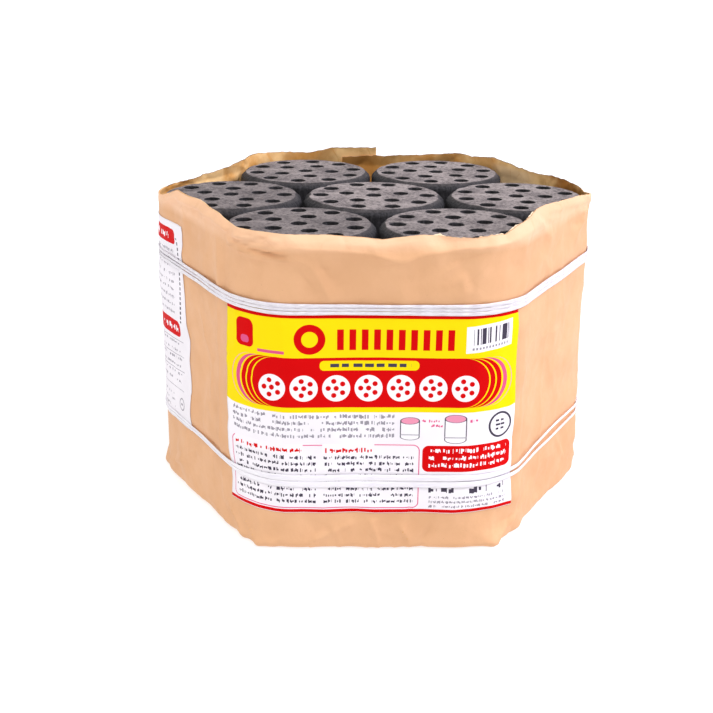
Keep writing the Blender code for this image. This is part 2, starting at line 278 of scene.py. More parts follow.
def wrap_noise(s, z, size, seed, stretch=1.0):
    """Smooth noise between about -1 and 1 on the wrap, in cells of size, stretched up the wrap."""
    columns = max(3, round(PERIMETER / size))
    rows = 64
    slopes = np.random.default_rng(seed).uniform(-1.0, 1.0, (columns, rows, 2))
    x = (s % PERIMETER) / PERIMETER * columns
    y = z / (size * stretch) + 2.0
    x0, y0 = np.floor(x).astype(int), np.floor(y).astype(int)
    fx, fy = x - x0, y - y0
    total = 0.0
    for i in (0, 1):
        for j in (0, 1):
            slope = slopes[(x0 + i) % columns, (y0 + j) % rows]
            ramp = slope[..., 0] * (fx - i) + slope[..., 1] * (fy - j)
            weight_x = smooth(0.0, 1.0, 1.0 - np.abs(fx - i))
            weight_y = smooth(0.0, 1.0, 1.0 - np.abs(fy - j))
            total = total + ramp * weight_x * weight_y
    return 2.0 * total


def crumpled(s, z, size, seed):
    """Flat facets with sharp folds between them, between -1 and 1, on a triangular net of that size."""
    columns, rows = round(PERIMETER / size), 64
    heights = np.random.default_rng(seed).uniform(-1.0, 1.0, (columns, rows))
    v = z / (0.9 * size) + 0.55 * wrap_noise(s, z, 1.7 * size, seed + 1) + 4.0
    u = s % PERIMETER / PERIMETER * columns + 0.55 * wrap_noise(s, z, 1.7 * size, seed + 2) - v / 2
    i, j = np.floor(u).astype(int), np.floor(v).astype(int)
    a, b = u - i, v - j
    beyond = (a + b > 1.0).astype(int)
    corner = heights[(i + beyond) % columns, (j + beyond) % rows] * np.abs(1.0 - a - b)
    along = heights[(i + 1) % columns, j % rows] * np.where(beyond, 1.0 - b, a)
    up = heights[i % columns, (j + 1) % rows] * np.where(beyond, 1.0 - a, b)
    return corner + along + up


def all_creases():
    """The creases seen, and the smaller random ones, in mm."""
    rng = np.random.default_rng(41)
    made = list(CREASES_MM)
    for count, s_bounds, z_bounds, lengths, directions, widths, heights in SMALL_CREASES_MM:
        for _ in range(count):
            s0, z0 = rng.uniform(*s_bounds), rng.uniform(*z_bounds)
            length, angle = rng.uniform(*lengths), math.radians(rng.uniform(*directions))
            s1, z1 = s0 + length * math.cos(angle), z0 + length * math.sin(angle)
            height = rng.uniform(*heights) * rng.choice([-1.0, 1.0])
            made.append((s0, z0, s1, z1, rng.uniform(*widths), height))
    return np.array(made) / 1000


CREASES = all_creases()


def creased(s, z):
    """How far the creases lift the paper at each point."""
    lift = np.zeros(np.shape(s))
    for s0, z0, s1, z1, width, height in CREASES:
        across, up = apart(s, s0), z - z0
        run, rise = s1 - s0, z1 - z0
        share = np.clip((across * run + up * rise) / (run * run + rise * rise), 0.0, 1.0)
        distance = np.hypot(across - share * run, up - share * rise)
        lift += height * np.sqrt(4.0 * share * (1.0 - share)) * np.exp(-distance / width)
    return CREASE_GAIN * lift


def tie_z(s, middle_z):
    """The height of a tie's middle at s."""
    return middle_z + TIE_SLOPE * place(s, WRAP_RADIUS, 0.0)[..., 1]


def by_ties(s, z, reach):
    """For each tie: 1 on it, fading to 0 over about twice reach above and below."""
    return [np.exp(-((z - tie_z(s, middle_z)) / reach) ** 2) for middle_z in (UPPER_TIE_Z, LOWER_TIE_Z)]


def rim_z(s):
    """The torn rim's height at s, which runs on from the sheet's outer end to its inner one."""
    at = np.asarray(s) * 1000
    height = np.interp(at, [p[0] for p in TORN_RIM_MM], [p[1] for p in TORN_RIM_MM]) / 1000
    ragged = 0.35 * wrap_noise(s, 0.0, 0.0040, 5) + 0.45 * wrap_noise(s, 0.0, 0.0110, 6)
    off_front = np.abs(apart(s, 0.0))
    height = height + 0.0013 * smooth(0.29, 0.33, off_front)
    return height + 0.001 * ragged * (0.4 + 1.6 * torn(s) + 0.9 * (off_front > 0.30))


def torn(s):
    """1 along the most ragged stretch of the rim, at the front right."""
    return within(apart(s, 0.0), 0.035, 0.060, 0.120, 0.140)


def foot_corner(s):
    """How far out a hexagon's sharp corners would be from the arcs: 1 at each corner and 0 on the sides."""
    turned = wrap_station(s)[2]
    off_side = np.radians(np.minimum(turned, 60.0 - turned))
    return (1.0 / np.cos(off_side) - 1.0) / (1.0 / math.cos(math.pi / 6) - 1.0)


def foot_radius(s):
    """The radius of the turn at the foot of the sheet, which is tighter at the corners."""
    return FOOT_RADIUS + (FOOT_CORNER_RADIUS - FOOT_RADIUS) * foot_corner(s)


def foot_reach(s, rim):
    """How far out the turn at the foot of the sheet begins, on the floor."""
    top = FOOT_Z + foot_radius(s)
    return WRAP_RADIUS + bulge(s, top, rim) - foot_radius(s)


def bulge(s, z, rim):
    """How far the paper stands out from WRAP_RADIUS at each point, held off the briquettes inside."""
    out = taut(s, z) + crumpling(s, z) + creased(s, z) + foot_spread(s, z)
    out = out + shoulder(s, z, rim) + lip(s, z, rim) - TIE_PINCH * sum(by_ties(s, z, 0.0060))
    share = wrap_station(s)[3]
    off_axis = PITCH * np.minimum(share, 1.0 - share)
    room = BRIQUETTE_RADIUS - np.sqrt(np.clip(BRIQUETTE_RADIUS ** 2 - off_axis ** 2, 0.0, None))
    lowest = LEAST_BULGE - np.minimum(0.9 * room, DEEPEST_SAG)
    return lowest + np.logaddexp(0.0, (out - lowest) / STOP_SOFTNESS) * STOP_SOFTNESS


def left_corner(s):
    """1 at the wrap's left corner, where the paper is drawn in."""
    return within(apart(s, 0.0), -0.330, -0.300, -0.260, -0.235)


def taut(s, z):
    """The paper's larger form: facets on the arcs, hollow sides, slow waves and two corners off the round."""
    _, _, turned, share = wrap_station(s)
    turned = turned + 3.0 * wrap_noise(s, z, 0.075, 11, 0.7) * (turned > 0)
    off_facet = (turned + FACET_DEGREES / 2) % FACET_DEGREES - FACET_DEGREES / 2
    out = FACET_SHARE * WRAP_RADIUS * (1.0 / np.cos(np.radians(off_facet)) - 1.0) + 0.0002
    out = out - SIDE_HOLLOW * np.sin(math.pi * share) + 0.0009 * wrap_noise(s, z, 0.085, 12, 1.1)
    flared = within(apart(s, 0.0), 0.215, 0.250, 0.300, 0.345) * smooth(0.228, 0.262, z) ** 2
    drawn_in = left_corner(s) * smooth(0.10, 0.20, z)
    return out + 0.0020 * flared - 0.0012 * drawn_in


def crumpling(s, z):
    """Crumples, which are lower under the front label and next to the ties."""
    start, end = FRONT_LABEL[:2]
    under_label = within(z, 0.030, 0.050, 0.190, 0.210)
    under_label = under_label * (1.0 - smooth(0.106, 0.126, np.abs(apart(s, (start + end) / 2))))
    out = sum(height * crumpled(s, z, size, seed) for seed, (height, size) in enumerate(CRUMPLES, 13))
    for by_tie in by_ties(s, z, 0.0110):
        out = out * (1.0 - 0.65 * by_tie)
    return out * (1.0 - 0.65 * under_label)


def foot_spread(s, z):
    """How the paper draws in towards the foot, apart from the folded corners, which stick out."""
    corners = along_wrap(FOOT_CORNERS_MM, s, 1) * foot_corner(s) * (1.0 - smooth(0.0, 0.042, z)) ** 2
    return corners - 0.0006 * (1.0 - smooth(0.0, 0.045, z))


def shoulder_z(s, rim):
    """The height of the crease under the shoulder."""
    return np.minimum(along_wrap(SHOULDER_MM, s, 1), rim - 0.004)


def shoulder(s, z, rim):
    """The crease under the shoulder, and the paper's lean from it in to the rim, ragged where it is torn."""
    crease_z = shoulder_z(s, rim)
    proud = along_wrap(SHOULDER_MM, s, 2)
    below = proud * np.exp(-np.clip(crease_z - z, 0.0, None) / 0.0085)
    leaning = np.clip((z - crease_z) / (rim - crease_z), 0.0, 1.0)
    out = np.where(z < crease_z, below, proud - (proud + 0.0012 * (1.0 - folded_over(s))) * leaning)
    return out + leaning * torn(s) * (0.0008 + 0.0010 * wrap_noise(s, 0.0, 0.009, 15))


def lip(s, z, rim):
    """The relief of the rim where it is turned over on itself."""
    drop = rim - z
    turned_over = folded_over(s) * (1.0 - 0.75 * left_corner(s))
    proud = LIP_PROUD * (1.0 - smooth(LIP_ROLL, LIP_ROLL + 0.0035, drop))
    return turned_over * (proud - LIP_LEAN * np.clip(1.0 - drop / LIP_ROLL, 0.0, 1.0) ** 1.5)


def add_object(name, data):
    """A new object with that data, in the scene."""
    obj = bpy.data.objects.new(name, data)
    bpy.context.scene.collection.objects.link(obj)
    return obj


def add_mesh(name, points, faces, materials, face_materials=None, uv=None):
    """A smooth-shaded mesh object that rides on the pack, with these materials."""
    mesh = bpy.data.meshes.new(name)
    mesh.from_pydata(np.asarray(points).tolist(), [], [list(map(int, face)) for face in faces])
    for made in materials:
        mesh.materials.append(made)
    if face_materials is not None:
        mesh.polygons.foreach_set("material_index", np.asarray(face_materials, dtype=np.int32))
    if uv is not None:
        layer = mesh.uv_layers.new(name="surface_mm")
        corners = np.empty(len(mesh.loops), dtype=np.int32)
        mesh.loops.foreach_get("vertex_index", corners)
        layer.data.foreach_set("uv", np.asarray(uv)[corners].astype(np.float32).ravel())
    mesh.validate()
    mesh.shade_smooth()
    obj = add_object(name, mesh)
    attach(obj, "pack")
    return obj


def grid_faces(columns, rows, wrap_rows=False, wrap_columns=False):
    """The quads of a grid of points numbered column by column."""
    i = np.arange(columns if wrap_columns else columns - 1)[:, None]
    j = np.arange(rows if wrap_rows else rows - 1)[None, :]
    next_i, next_j = (i + 1) % columns, (j + 1) % rows
    corners = [i * rows + j, next_i * rows + j, next_i * rows + next_j, i * rows + next_j]
    return np.stack(corners, axis=-1).reshape(-1, 4)


def wrap_columns():
    """The distances at which the sheet has a column of points, from its outer end to its inner one."""
    end = SHEET_START + PERIMETER + LAP
    return np.linspace(SHEET_START, end, round((end - SHEET_START) / COLUMN_STEP) + 1)


def make_wrap(outside, inside, edge):
    """The one sheet of paper round the pack. Its cross-section runs from the lip under the foot, up the outer
    face, over the rim and down the inner face."""
    s = wrap_columns()[:, None]
    rim = rim_z(s)
    lapped = smooth(SHEET_START + PERIMETER - 0.016, SHEET_START + PERIMETER - 0.002, s)
    crease_z = shoulder_z(s, rim)

    def at_heights(z):
        return WRAP_RADIUS + bulge(np.broadcast_to(s, z.shape), z, rim) - LAP_STEP * lapped

    def foot_turn(radius):
        """The turn at the foot with this radius, from the floor up."""
        angle = np.radians(np.linspace(-90.0, 0.0, 7))[None, :-1]
        return reach + radius * np.cos(angle), foot_top + radius * np.sin(angle)

    turn_radius = foot_radius(s)
    foot_top = FOOT_Z + turn_radius
    reach = foot_reach(s, rim) - LAP_STEP * lapped
    outer_foot_r, outer_foot_z = foot_turn(turn_radius)
    inner_foot_r, inner_foot_z = foot_turn(turn_radius - PAPER)
    fixed_rows = round(FIXED_ROWS_TOP / ROW_STEP)
    fixed = foot_top + (FIXED_ROWS_TOP - foot_top) * np.linspace(0.0, 1.0, fixed_rows + 1)[None, :-1]
    below = FIXED_ROWS_TOP + (crease_z - FIXED_ROWS_TOP) * np.linspace(0.0, 1.0, 13)[None, :-1]
    above = crease_z + (rim - crease_z) * np.sin(np.linspace(0.0, math.pi / 2, 11))[None, :]
    rising = np.concatenate([fixed, below, above], axis=1)
    radius = at_heights(rising)

    thick = PAPER * (1.0 + folded_over(s))
    lip_turn = np.radians(np.linspace(0.0, 180.0, 6))[None, 1:-1]
    lip_r = radius[:, -1:] - thick / 2 * (1.0 - np.cos(lip_turn))
    lip_z = rim + thick / 2 * np.sin(lip_turn)

    drop = rim - rising
    fold_depth = FOLD_DEPTH + 0.002 * wrap_noise(s, 0.0, 0.03, 9)
    inner_thick = PAPER + (thick - PAPER) * (1.0 - smooth(fold_depth, fold_depth + 0.0012, drop))
    inner_r = (radius - inner_thick)[:, ::-1]
    inner_z = rising[:, ::-1]

    inwards = reach - FOOT_LIP
    floor_z = np.full(s.shape, FOOT_Z)
    section_r = [inwards, outer_foot_r, radius, lip_r, inner_r, inner_foot_r[:, ::-1], inwards]
    section_z = [floor_z, outer_foot_z, rising, lip_z, inner_z, inner_foot_z[:, ::-1], floor_z + PAPER]
    all_r, all_z = np.concatenate(section_r, axis=1), np.concatenate(section_z, axis=1)
    outer_rows = 1 + outer_foot_r.shape[1] + radius.shape[1]
    rim_rows = outer_rows + lip_r.shape[1]

    points = place(s, all_r, all_z)
    columns, rows = all_r.shape
    faces = list(grid_faces(columns, rows, wrap_rows=True))
    row_of_face = np.tile(np.arange(rows), columns - 1)
    outside_index, inside_index, edge_index = range(3)
    not_outside = np.where(row_of_face < rim_rows + 1, edge_index, inside_index)
    face_materials = np.where(row_of_face < outer_rows - 1, outside_index, not_outside)
    face_materials = np.concatenate([face_materials, [0, 0]])
    first = np.arange(rows)
    faces += [first, (first + (columns - 1) * rows)[::-1]]
    uv = np.stack([np.broadcast_to(s, all_z.shape), all_z], axis=-1).reshape(-1, 2) * 1000
    papers = [outside, inside, edge]
    obj = add_mesh("wrap_paper", points.reshape(-1, 3), faces, papers, face_materials, uv)
    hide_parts("wrap_sleeve")


def folded_over(s):
    """1 where the rim is turned over on itself, and 0 where it is a torn edge."""
    at = apart(s, 0.0)
    left = within(at, -0.325, -0.290, 0.020, 0.040) * (1.0 - 0.75 * smooth(-0.124, -0.118, at))
    right = within(at, 0.15, 0.17, 0.285, 0.310)
    return np.maximum(left, 0.40 * right)


def unrolled(s):
    """s counted from the sheet's outer end on, as the torn rim is."""
    return s % PERIMETER + PERIMETER * (s % PERIMETER < SHEET_START)


def make_sheet(name, s, z, radius, thickness, material, node):
    """A thin closed sheet whose inner face goes through a grid of places on the wrap."""
    inner = place(s, radius, z)
    outer = place(s, radius + thickness, z)
    columns, rows = s.shape
    count = columns * rows
    front = grid_faces(columns, rows)
    back = front[:, ::-1] + count
    rim = np.concatenate([
        np.arange(columns) * rows,
        (columns - 1) * rows + np.arange(1, rows),
        (np.arange(columns - 1) * rows + rows - 1)[::-1],
        np.arange(1, rows - 1)[::-1],
    ])
    following = np.roll(rim, -1)
    edge = np.stack([rim + count, following + count, following, rim], axis=-1)
    points = np.concatenate([outer.reshape(-1, 3), inner.reshape(-1, 3)])
    uv = np.tile(np.stack([s, z], axis=-1).reshape(-1, 2) * 1000, (2, 1))
    obj = add_mesh(name, points, np.concatenate([front, back, edge]), [material], uv=uv)
    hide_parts(node)


def make_label(name, span, art, node, right_edge=None):
    """A thin printed label that follows the paper under it."""
    start, end, low, high = span
    z = np.linspace(low, high, round((high - low) / COLUMN_STEP) + 1)[None, :]
    share = np.linspace(0.0, 1.0, round((end - start) / COLUMN_STEP) + 1)[:, None]
    last = end + (right_edge(z) if right_edge else 0.0 * z)
    s = start + (last - start) * share
    z = np.broadcast_to(z, s.shape)
    paper = WRAP_RADIUS + bulge(s, z, rim_z(unrolled(s)))
    make_sheet(name, s, z, paper + LABEL_OFFSET, LABEL_THICKNESS, art, node)


def make_torn_ply(fibres):
    """The inner ply that stands a little above the torn rim at the front right, with a fuzzy edge."""
    start, end = 0.030, 0.146
    s = np.linspace(start, end, 330)[:, None]
    rim = rim_z(unrolled(s))
    fuzz = 0.5 + 0.35 * wrap_noise(s, 0.0, 0.0030, 21) + 0.9 * wrap_noise(s, 0.0, 0.0120, 22)
    top = rim - 0.0006 + 0.0016 * np.clip(fuzz, 0.0, None) * within(s, start, 0.045, 0.130, end)
    low = rim - 0.0060
    z = low + (top - low) * np.linspace(0.0, 1.0, 6)[None, :]
    radius = WRAP_RADIUS + bulge(s + 0.0 * z, np.minimum(z, rim), rim) - PAPER - 0.00035
    make_sheet("torn_inner_ply", s + 0.0 * z, z, radius, 0.00025, fibres, "wrap_sleeve")


def sweep(name, centre, across, out, half_width, half_depth, material, closed, sides=20, ridges=7):
    """A strand along the centres, flattened between across and out, with fibre ridges along it."""
    count = len(centre)
    turn = np.linspace(0.0, math.tau, sides, endpoint=False)[None, :]
    travelled = np.concatenate([[0.0], np.cumsum(np.linalg.norm(np.diff(centre, axis=0), axis=1))])[:, None]
    ridge = 1.0 + 0.07 * np.sin(ridges * turn + 40.0 * travelled) + 0.05 * np.sin(3 * turn - 170.0 * travelled)
    width = np.reshape(half_width, (-1, 1)) * np.cos(turn) * ridge
    depth = np.reshape(half_depth, (-1, 1)) * np.sin(turn) * ridge
    points = centre[:, None, :] + width[..., None] * across[:, None, :] + depth[..., None] * out[:, None, :]
    faces = [face[::-1] for face in grid_faces(count, sides, wrap_rows=True, wrap_columns=closed)]
    if not closed:
        faces += [np.arange(sides), ((count - 1) * sides + np.arange(sides))[::-1]]
    spread = np.broadcast_to(travelled, points.shape[:2]), np.broadcast_to(width, points.shape[:2])
    uv = np.stack(spread, axis=-1).reshape(-1, 2) * 1000
    return add_mesh(name, points.reshape(-1, 3), faces, [material], uv=uv)


def make_tie(name, middle_z, strands, node, twine):
    """The strands of one tie, which lie on the wrap and its label."""
    count = 560
    s = np.arange(count) * PERIMETER / count
    _, normal, _, _ = wrap_station(s)
    out = np.concatenate([normal, np.zeros((count, 1))], axis=1)
    across = np.tile([0.0, 0.0, 1.0], (count, 1))
    rim = rim_z(unrolled(s))
    for number, points in enumerate(strands, 1):
        half_width = along_wrap(points, s, 2)
        wander = 0.0002 * wrap_noise(s, 0.1 * number, 0.05, 60 + number)
        z = tie_z(s, middle_z) + along_wrap(points, s, 1) + wander
        paper = np.max([bulge(s, z + shift * half_width, rim) for shift in np.linspace(-1.0, 1.0, 5)], axis=0)
        settled = np.max([np.roll(paper, shift) for shift in range(-8, 9)], axis=0)
        for _ in range(3):
            settled = np.mean([np.roll(settled, shift) for shift in range(-6, 7)], axis=0)
        radius = WRAP_RADIUS + np.maximum(settled, paper) + TWINE_LIFT + STRAND_THICKNESS
        flat = np.full(count, STRAND_THICKNESS) * np.clip(0.0016 / half_width, 0.55, 1.5)
        centre = place(s, radius, z)
        obj = sweep(f"{name}_strand_{number}", centre, across, out, half_width, flat, twine, closed=True)
        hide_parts(node)


def transported(path):
    """Two unit vectors square to the path at each of its points, turning as little as they can."""
    tangent = np.gradient(path, axis=0)
    tangent /= np.linalg.norm(tangent, axis=1)[:, None]
    side = np.cross(tangent[0], [0.31, 0.22, 0.93])
    sides = []
    for direction in tangent:
        side = side - direction * (side @ direction)
        side = side / np.linalg.norm(side)
        sides.append(side)
    sides = np.array(sides)
    return sides, np.cross(tangent, sides)


def make_knot(name, middle_z, s, node, twine):
    """A tie's knot at the back, and its two tails hanging down the paper."""
    s = np.array([s])
    _, normal, _, _ = wrap_station(s)
    out = np.array([*normal[0], 0.0])
    along = np.array([-out[1], out[0], 0.0])
    up = np.array([0.0, 0.0, 1.0])
    z = tie_z(s, middle_z)
    rim = rim_z(unrolled(s))
    centre = place(s, WRAP_RADIUS + bulge(s, z, rim) + KNOT_OFF_PAPER, z)[0]
    t = np.linspace(0.0, math.tau, 97)
    loop = np.stack([np.sin(t) + 2 * np.sin(2 * t), np.cos(t) - 2 * np.cos(2 * t), -np.sin(3 * t)], axis=-1)
    path = centre + loop[:, :1] * 0.0019 * along + loop[:, 1:2] * 0.0016 * up + loop[:, 2:] * 0.0024 * out
    side, other = transported(path)
    thick = KNOT_STRAND_RADIUS
    obj = sweep(f"{name}_knot_loops", path, side, other, thick, thick, twine, closed=False, ridges=5)
    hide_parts(node)
    share = np.linspace(0.0, 1.0, 40)[:, None]
    for number, sign in enumerate((-1, 1), 1):
        sway = 0.0016 * np.sin(5.0 * share + sign) + sign * (0.0028 + 0.0045 * share)
        away = -0.0026 + 0.0010 * np.sin(4.0 * share + 2.0 * sign)
        path = centre + along * sway + out * away - up * (0.0020 + TAIL_LENGTH * share)
        across = np.tile(along, (40, 1)) * np.cos(1.2 * share) + out * np.sin(0.5 * share)
        across /= np.linalg.norm(across, axis=1)[:, None]
        depth = np.cross(across, -up)
        depth /= np.linalg.norm(depth, axis=1)[:, None]
        wide = thick + 0.0006 * share[:, 0] + 0.0003 * np.sin(9.0 * share[:, 0])
        flat = STRAND_THICKNESS
        tail = sweep(f"{name}_tail_{number}", path, across, depth, wide, flat, twine, closed=False, ridges=5)
        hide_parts(node)


def make_bottom(paper):
    """Six overlapping flaps folded in under the pack, above the lip of the sheet's foot."""
    shares = np.append(np.linspace(0.12, 0.99, 8), 1.0)
    for number in range(6):
        middle = number * SIDE_LENGTH
        s = np.linspace(middle - SIDE_LENGTH / 2, middle + SIDE_LENGTH / 2, 60)
        edge = place(s, foot_reach(s, rim_z(unrolled(s))) - 0.0002, 0.0)[:, :2]
        normal = wrap_station(np.array([middle]))[1][0]
        across = np.array([-normal[1], normal[0]])
        tip = -FLAP_PAST_MIDDLE * normal
        ends = np.stack([tip + FLAP_TIP_HALF_WIDTH * across, tip - FLAP_TIP_HALF_WIDTH * across])
        outline = np.concatenate([edge, ends])
        centre = np.stack([edge[0], edge[-1], ends[0], ends[1]]).mean(axis=0)

        flat = centre + (outline - centre) * shares[:, None, None]
        ripple = 0.00003 * np.sin(90.0 * flat @ across + 2.0 * number) * (shares < 1.0)[:, None]
        low_z = FLAP_Z + FLAP_STEP * number + ripple
        layers = [np.concatenate([flat, z[..., None]], axis=-1) for z in (low_z, low_z + FLAP_THICKNESS)]
        rings, count = low_z.shape
        upwards = grid_faces(rings, count, wrap_rows=True)
        ring, upper = np.arange(count), rings * count
        low_edge = ring + upper - count
        side = np.stack([low_edge, np.roll(low_edge, -1)], axis=-1)
        faces = [*upwards[:, ::-1], *(upwards + upper), ring[::-1], ring + upper]
        faces += [*np.concatenate([side, side[:, ::-1] + upper], axis=-1)]
        points = np.concatenate(layers).reshape(-1, 3)
        obj = add_mesh(f"bottom_flap_{number + 1}", points, faces, [paper])
        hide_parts("wrap_bottom_fold")


def hole_centres(turn):
    """The air holes' centres, turned about the briquette's axis: one, then five, then ten between those."""
    centres = [(0.0, 0.0)]
    for (radius, count), start in ((INNER_RING, 0.0), (OUTER_RING, 0.5)):
        for i in range(count):
            angle = (i + start) * math.tau / count + turn
            centres.append((radius * math.cos(angle), radius * math.sin(angle)))
    return centres


def add_ring(bm, x, y, z, radii):
    """A ring of new vertices about (x, y) at height z, one at each radius."""
    ring = []
    for number, radius in enumerate(radii):
        angle = number * math.tau / len(radii)
        ring.append(bm.verts.new((x + radius * math.cos(angle), y + radius * math.sin(angle), z)))
    return ring


def edges_of(bm, points):
    """New edges that join a ring's neighbouring vertices."""
    return [bm.edges.new((points[i - 1], points[i])) for i in range(len(points))]


def layer_profile(height, chamfered):
    """How far in a layer's side is at each height, from its low end up, with a worn chamfer at one end."""
    straight_from = WORN_CORNER[-1][1]
    straight = height - straight_from - 0.0004
    steps = max(1, round(straight / 0.011))
    profile = [(EDGE_CHAMFER + 0.0004, 0.0), (EDGE_CHAMFER, 0.00008), (EDGE_CHAMFER - 0.0004, 0.0004)]
    profile += WORN_CORNER
    profile += [(0.0002, straight_from + straight * i / steps) for i in range(1, steps)]
    profile += [(0.0002, height - 0.0003), (0.0005, height)]
    if chamfered == "high":
        profile = [(inset, height - z) for inset, z in reversed(profile)]
    return profile


def hole_profile(radius, height, flares):
    """A hole's radius at each height, from its low end up. flares is how far each end's mouth is worn open."""
    levels = []
    for end, inward, flare in zip((0.0, height), (1.0, -1.0), flares):
        levels += [(end, radius + flare), (end + inward * 0.00025, radius + flare * 0.35)]
        levels += [(end + inward * 0.0009, radius)]
    return sorted(levels)


def add_side(bm, rng, height, chamfered):
    """The rings of a layer's side, a little out of round, with chips out of its chamfered edge."""
    angle = np.arange(SIDE_SEGMENTS) * math.tau / SIDE_SEGMENTS
    waves = sum(rng.uniform(0.2, 1.0) * np.sin(k * angle + rng.uniform(0, 6)) for k in (2, 3, 5, 8, 13))
    chips = np.zeros(SIDE_SEGMENTS)
    for _ in range(CHIPS):
        at, wide, deep = rng.uniform(0, math.tau), rng.uniform(0.03, 0.09), rng.uniform(0.0004, 0.0022)
        gap = (angle - at + math.pi) % math.tau - math.pi
        chips += deep * np.exp(-((gap / wide) ** 2))
    rings = []
    for inset, z in layer_profile(height, chamfered):
        near_edge = min(abs(z), abs(height - z)) < 0.007 and inset > 0.0004
        rough = 0.00016 * np.abs(rng.standard_normal(SIDE_SEGMENTS))
        radii = BRIQUETTE_RADIUS - inset - 0.00006 * (waves + 2.2) - near_edge * chips - rough
        rings.append(add_ring(bm, 0.0, 0.0, z, radii.tolist()))
    return rings


def make_layer(name, node, chamfered, turn, seed, material, body, tone):
    """One drilled layer of a briquette in its node's place. Its rim and its holes' mouths are worn at one end,
    the low or the high one."""
    low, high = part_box(node)
    height = high.z - low.z
    rng = np.random.default_rng(seed)
    bm = bmesh.new()
    rings = add_side(bm, rng, height, chamfered)
    bands = list(zip(rings, rings[1:]))
    low_cap, high_cap = edges_of(bm, rings[0]), edges_of(bm, rings[-1])
    for x, y in hole_centres(turn):
        radius = HOLE_RADIUS * (1.0 + rng.uniform(-0.02, 0.02))
        worn = rng.uniform(0.0004, 0.0012)
        flares = [worn if chamfered == end else 0.0001 for end in ("low", "high")]
        walls = [
            add_ring(bm, x, y, z, (r * (1.0 + 0.028 * rng.standard_normal(HOLE_SIDES))).tolist())
            for z, r in hole_profile(radius, height, flares)
        ]
        bands += list(zip(walls, walls[1:]))
        low_cap += edges_of(bm, walls[0])
        high_cap += edges_of(bm, walls[-1])
    for lower, upper in bands:
        for i in range(len(lower)):
            bm.faces.new((lower[i - 1], lower[i], upper[i], upper[i - 1]))
    for edges in (low_cap, high_cap):
        bmesh.ops.triangle_fill(bm, edges=edges, use_beauty=True)
    bmesh.ops.recalc_face_normals(bm, faces=bm.faces)

    mesh = bpy.data.meshes.new(name)
    bm.to_mesh(mesh)
    bm.free()
    mesh.materials.append(material)
    mesh.shade_smooth()
    obj = add_object(name, mesh)
    obj.location = ((low.x + high.x) / 2, (low.y + high.y) / 2, low.z)
    # Painted shade: the object colour darkens the pressed faces, more on the briquettes to the left.
    obj.color = (tone, tone, tone, 1.0)
    flatter = obj.modifiers.new("flat faces shade flat", "WEIGHTED_NORMAL")
    flatter.mode = "FACE_AREA"
    flatter.weight = 90
    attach(obj, body)
    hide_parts(node)


def make_briquettes(charcoal, compound):
    """All fourteen briquettes, each a block and its ignition layer."""
    for number, (where, (upper_turn, lower_turn, tone)) in enumerate(PLACES.items()):
        upper, lower = math.radians(upper_turn), math.radians(lower_turn)
        layers = [
            ("upper_block", "high", upper, charcoal, "charcoal"),
            ("upper_ignition_layer", "low", upper, compound, "ignition_compound"),
            ("lower_block", "low", lower, charcoal, "charcoal"),
            ("lower_ignition_layer", "high", lower, compound, "ignition_compound"),
        ]
        for kind, (prefix, chamfered, turn, material, slot) in enumerate(layers):
            node = f"{prefix}_{where}"
            body = f"{prefix.split('_')[0]}_briquette_{where}"
            seed = 100 + 10 * number + kind
            make_layer(f"{node}_drilled", node, chamfered, turn, seed, material, body, tone)


class Field:
    """A value over a surface: one shader node's output. Arithmetic on it adds more nodes."""

    def __init__(self, tree, socket):
        self.tree = tree
        self.socket = socket

    def node(self, kind, output, inputs, **settings):
        """A new node with these settings, its inputs given by name or number, as fields or plain values."""
        made = self.tree.nodes.new(kind)
        for key, value in settings.items():
            setattr(made, key, value)
        for key, value in inputs.items():
            if isinstance(value, Field):
                self.tree.links.new(value.socket, made.inputs[key])
            else:
                made.inputs[key].default_value = value
        return Field(self.tree, made.outputs[output])

    def maths(self, operation, *others):
        inputs = {i: value for i, value in enumerate((self, *others))}
        return self.node("ShaderNodeMath", 0, inputs, operation=operation)

    __add__ = partialmethod(maths, "ADD")
    __sub__ = partialmethod(maths, "SUBTRACT")
    __mul__ = partialmethod(maths, "MULTIPLY")
    __truediv__ = partialmethod(maths, "DIVIDE")
    below = partialmethod(maths, "LESS_THAN")
    above = partialmethod(maths, "GREATER_THAN")

    def between(self, low, high):
        return self.maths("COMPARE", (low + high) / 2, (high - low) / 2)

    def ramp(self, low, high, to_low=0.0, to_high=1.0):
        """The field scaled from low..high to to_low..to_high, and held at the ends."""
        inputs = {"Value": self, "From Min": low, "From Max": high, "To Min": to_low, "To Max": to_high}
        return self.node("ShaderNodeMapRange", 0, inputs)

    def band(self, rises_from, rises_to, falls_from, falls_to):
        """1 between rises_to and falls_from, and 0 outside rises_from and falls_to."""
        return self.ramp(rises_from, rises_to) * self.ramp(falls_from, falls_to, 1.0, 0.0)

    def axis(self, letter):
        return self.node("ShaderNodeSeparateXYZ", letter, {0: self})

    def scaled(self, x, y, z):
        """A position field stretched along its axes."""
        return self.node("ShaderNodeVectorMath", 0, {0: self, 1: (x, y, z)}, operation="MULTIPLY")

    def noise(self, scale, detail=3.0, roughness=0.5):
        """Cloudy noise at this position field."""
        inputs = {"Vector": self, "Scale": scale, "Detail": detail, "Roughness": roughness}
        return self.node("ShaderNodeTexNoise", "Fac", inputs)

    def cells(self, scale, feature="F1"):
        """Distances within Voronoi cells at this position field."""
        inputs = {"Vector": self, "Scale": scale}
        return self.node("ShaderNodeTexVoronoi", "Distance", inputs, feature=feature)

    def mixed(self, colour, other):
        """Colour with this field's share of the other over it."""
        factor, first, second, result = 0, 6, 7, 2
        inputs = {factor: self}
        for port, value in ((first, colour), (second, other)):
            inputs[port] = value if isinstance(value, Field) else (*value, 1.0)
        return self.node("ShaderNodeMix", result, inputs, data_type="RGBA")


